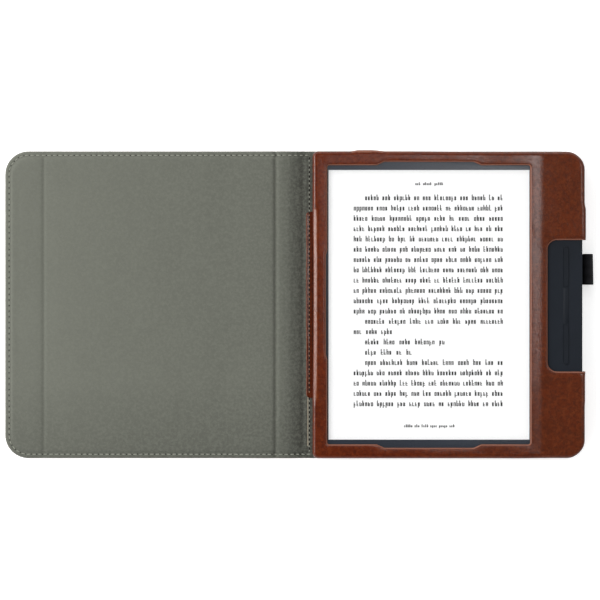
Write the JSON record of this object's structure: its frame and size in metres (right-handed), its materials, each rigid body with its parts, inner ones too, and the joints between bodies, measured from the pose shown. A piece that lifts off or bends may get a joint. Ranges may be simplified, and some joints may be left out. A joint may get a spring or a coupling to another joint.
{
  "type": "e-reader in folio case",
  "caption": "Reading tablet with a raised grip and page buttons, framed in the leather pocket of a folding folio case that lies open.",
  "frame": {"origin": "on the surface that the open folio lies on, in the back cover's outside face, under the middle of the reader", "axes": "+X across the reader towards its grip, +Y up the page, +Z out of the screen"},
  "size_m": [0.3568, 0.1862, 0.0142],
  "materials": {
    "leather": "glossy pull-up leather, mottled chestnut brown, fine grain",
    "microsuede": "grey-green brushed microsuede",
    "greyboard": "pressed grey board",
    "stiffener": "thin flexible sheet",
    "felt": "short black felt",
    "frame_plastic": "moulded, matt",
    "elastic": "ribbed woven elastic",
    "shell_plastic": "soft-touch fine texture",
    "button_plastic": "satin, finer than the body",
    "clear_film": "clear, anti-glare",
    "electronic_paper": "white, dull",
    "magnesium": "die cast, bead blasted",
    "steel": "plated",
    "tinned_steel": "tinned sheet",
    "circuit_board": "solder mask, satin",
    "chip": "moulded package",
    "flex": "amber film",
    "battery_foil": "laminated foil pouch",
    "wire": "insulated",
    "rubber": "soft seal",
    "magnet": "nickel plated"
  },
  "bodies": {
    "reader_and_back": {"back_cover_leather": "leather", "back_cover_board": "greyboard", "back_cover_lining": "microsuede", "spine_fold_leather": "leather", "spine_fold_lining": "microsuede", "pocket_floor": "greyboard", "pocket_felt": "felt", "pocket_frame": "frame_plastic", "pocket_leather": "leather", "pocket_tongue": "leather", "pen_loop": "elastic", "rear_shell": "shell_plastic", "front_bezel": "shell_plastic", "touch_film": "clear_film", "light_guide": "clear_film", "light_strip": "flex", "paper_panel": "electronic_paper", "display_carrier": "magnesium", "carrier_screws": "steel", "display_flex": "flex", "touch_flex": "flex", "main_board": "circuit_board", "board_screws": "steel", "board_chips": "chip", "hall_sensor": "chip", "shield_can": "tinned_steel", "antenna": "flex", "battery": "battery_foil", "battery_lead": "wire", "button_board": "circuit_board", "button_board_screws": "steel", "page_switches": "tinned_steel", "side_board": "circuit_board", "power_switch": "tinned_steel", "charging_port": "tinned_steel", "port_seal": "rubber"},
    "spine_panel": {"spine_leather": "leather", "spine_stiffener": "stiffener", "spine_lining": "microsuede", "cover_fold_leather": "leather", "cover_fold_lining": "microsuede"},
    "cover_panel": {"front_cover_leather": "leather", "front_cover_board": "greyboard", "front_cover_lining": "microsuede", "flap_fold_leather": "leather", "flap_fold_lining": "microsuede"},
    "flap_panel": {"flap_leather": "leather", "flap_board": "greyboard", "flap_lining": "microsuede", "flap_magnets": "magnet"},
    "page_up": {"upper_page_button": "button_plastic"},
    "page_down": {"lower_page_button": "button_plastic"},
    "power_key": {"power_button": "button_plastic"}
  },
  "joints": [
    {"name": "spine_fold", "type": "hinge", "parent": "reader_and_back", "child": "spine_panel", "pos_m": [-0.0887, 0, 0.00115], "axis": [0, 1, 0], "range_deg": [0, 90], "deforming": ["spine_fold_leather", "spine_fold_lining"]},
    {"name": "cover_fold", "type": "hinge", "parent": "spine_panel", "child": "cover_panel", "pos_m": [-0.1053, 0, 0.00115], "axis": [0, 1, 0], "range_deg": [0, 93], "deforming": ["cover_fold_leather", "cover_fold_lining"]},
    {"name": "flap_fold", "type": "hinge", "parent": "cover_panel", "child": "flap_panel", "pos_m": [-0.2456, 0, 0.00115], "axis": [0, 1, 0], "range_deg": [-11.2, 0], "deforming": ["flap_fold_leather", "flap_fold_lining"]},
    {"name": "page_up_press", "type": "slide", "parent": "reader_and_back", "child": "page_up", "axis": [0.1466, 0, -0.9892], "range_m": [0, 0.00035], "stiffness_N_per_m": 2000, "springref_m": -0.0003},
    {"name": "page_down_press", "type": "slide", "parent": "reader_and_back", "child": "page_down", "axis": [0.1466, 0, -0.9892], "range_m": [0, 0.00035], "stiffness_N_per_m": 2000, "springref_m": -0.0003},
    {"name": "power_press", "type": "slide", "parent": "reader_and_back", "child": "power_key", "axis": [-1, 0, 0], "range_m": [0, 0.0003], "stiffness_N_per_m": 2500, "springref_m": -0.0003}
  ],
  "couplings": [
    {"joint": "cover_fold", "follows": "spine_fold", "ratio": 1.0289},
    {"joint": "flap_fold", "follows": "spine_fold", "ratio": -0.12256}
  ]
}
